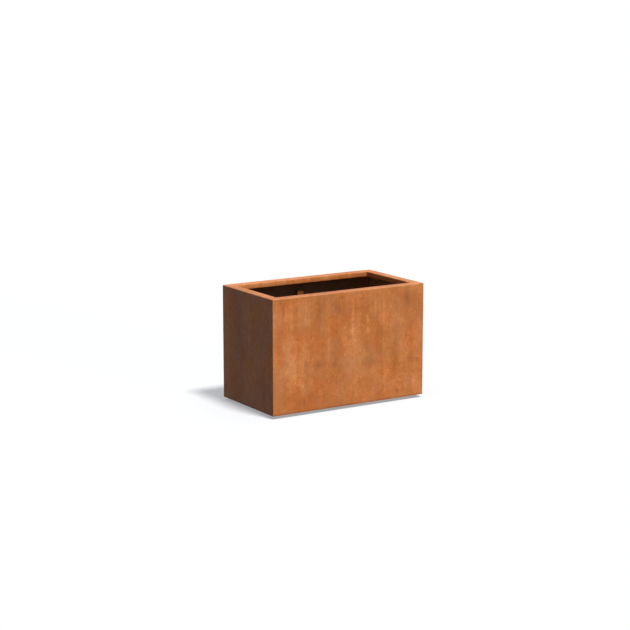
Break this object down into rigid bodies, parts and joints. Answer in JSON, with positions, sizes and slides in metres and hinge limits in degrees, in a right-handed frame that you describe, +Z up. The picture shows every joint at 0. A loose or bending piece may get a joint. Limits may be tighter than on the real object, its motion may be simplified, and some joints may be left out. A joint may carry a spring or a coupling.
{
  "type": "planter box",
  "caption": "Rectangular weathering-steel street planter with a folded inward rim, wall stiffeners and levelling feet under a recessed floor.",
  "frame": {"origin": "on the ground under the centre of the box", "axes": "+X along the length to the right, +Y to the back, +Z up"},
  "size_m": [0.9, 0.5, 0.6],
  "materials": {
    "weathering_steel": "matte orange-brown rust patina with run-off streaks",
    "weathering_steel_inside": "matte dark brown rust patina",
    "weld_bead": "rippled weld metal, rusted",
    "zinc_fastener": "dull zinc plating",
    "foot_rubber": "matte black"
  },
  "bodies": {
    "planter_box": {"front_wall": "weathering_steel", "back_wall": "weathering_steel", "left_end_wall": "weathering_steel", "right_end_wall": "weathering_steel", "base_tray": "weathering_steel_inside", "foot_channel_left": "weathering_steel_inside", "foot_channel_right": "weathering_steel_inside", "stiffener_front": "weathering_steel", "stiffener_back": "weathering_steel", "corner_welds": "weld_bead", "tray_welds": "weld_bead", "stiffener_welds": "weld_bead", "channel_welds": "weld_bead", "foot_weld_nuts": "zinc_fastener", "foot_lock_nuts": "zinc_fastener"},
    "foot_base_fl": {"foot_plate_fl": "zinc_fastener", "foot_pad_fl": "foot_rubber"},
    "foot_spindle_fl": {"foot_screw_fl": "zinc_fastener"},
    "foot_base_fr": {"foot_plate_fr": "zinc_fastener", "foot_pad_fr": "foot_rubber"},
    "foot_spindle_fr": {"foot_screw_fr": "zinc_fastener"},
    "foot_base_bl": {"foot_plate_bl": "zinc_fastener", "foot_pad_bl": "foot_rubber"},
    "foot_spindle_bl": {"foot_screw_bl": "zinc_fastener"},
    "foot_base_br": {"foot_plate_br": "zinc_fastener", "foot_pad_br": "foot_rubber"},
    "foot_spindle_br": {"foot_screw_br": "zinc_fastener"}
  },
  "joints": [
    {"name": "foot_travel_fl", "type": "slide", "parent": "planter_box", "child": "foot_base_fl", "axis": [0, 0, -1], "range_m": [-0.006, 0.012]},
    {"name": "foot_turn_fl", "type": "hinge", "parent": "foot_base_fl", "child": "foot_spindle_fl", "pos_m": [-0.35, -0.15, 0.008], "axis": [0, 0, -1], "range_deg": [-1440, 2880]},
    {"name": "foot_travel_fr", "type": "slide", "parent": "planter_box", "child": "foot_base_fr", "axis": [0, 0, -1], "range_m": [-0.006, 0.012]},
    {"name": "foot_turn_fr", "type": "hinge", "parent": "foot_base_fr", "child": "foot_spindle_fr", "pos_m": [0.35, -0.15, 0.008], "axis": [0, 0, -1], "range_deg": [-1440, 2880]},
    {"name": "foot_travel_bl", "type": "slide", "parent": "planter_box", "child": "foot_base_bl", "axis": [0, 0, -1], "range_m": [-0.006, 0.012]},
    {"name": "foot_turn_bl", "type": "hinge", "parent": "foot_base_bl", "child": "foot_spindle_bl", "pos_m": [-0.35, 0.15, 0.008], "axis": [0, 0, -1], "range_deg": [-1440, 2880]},
    {"name": "foot_travel_br", "type": "slide", "parent": "planter_box", "child": "foot_base_br", "axis": [0, 0, -1], "range_m": [-0.006, 0.012]},
    {"name": "foot_turn_br", "type": "hinge", "parent": "foot_base_br", "child": "foot_spindle_br", "pos_m": [0.35, 0.15, 0.008], "axis": [0, 0, -1], "range_deg": [-1440, 2880]}
  ],
  "couplings": [
    {"joint": "foot_turn_fl", "follows": "foot_travel_fl", "rad_per_m": 4188.8},
    {"joint": "foot_turn_fr", "follows": "foot_travel_fr", "rad_per_m": 4188.8},
    {"joint": "foot_turn_bl", "follows": "foot_travel_bl", "rad_per_m": 4188.8},
    {"joint": "foot_turn_br", "follows": "foot_travel_br", "rad_per_m": 4188.8}
  ]
}
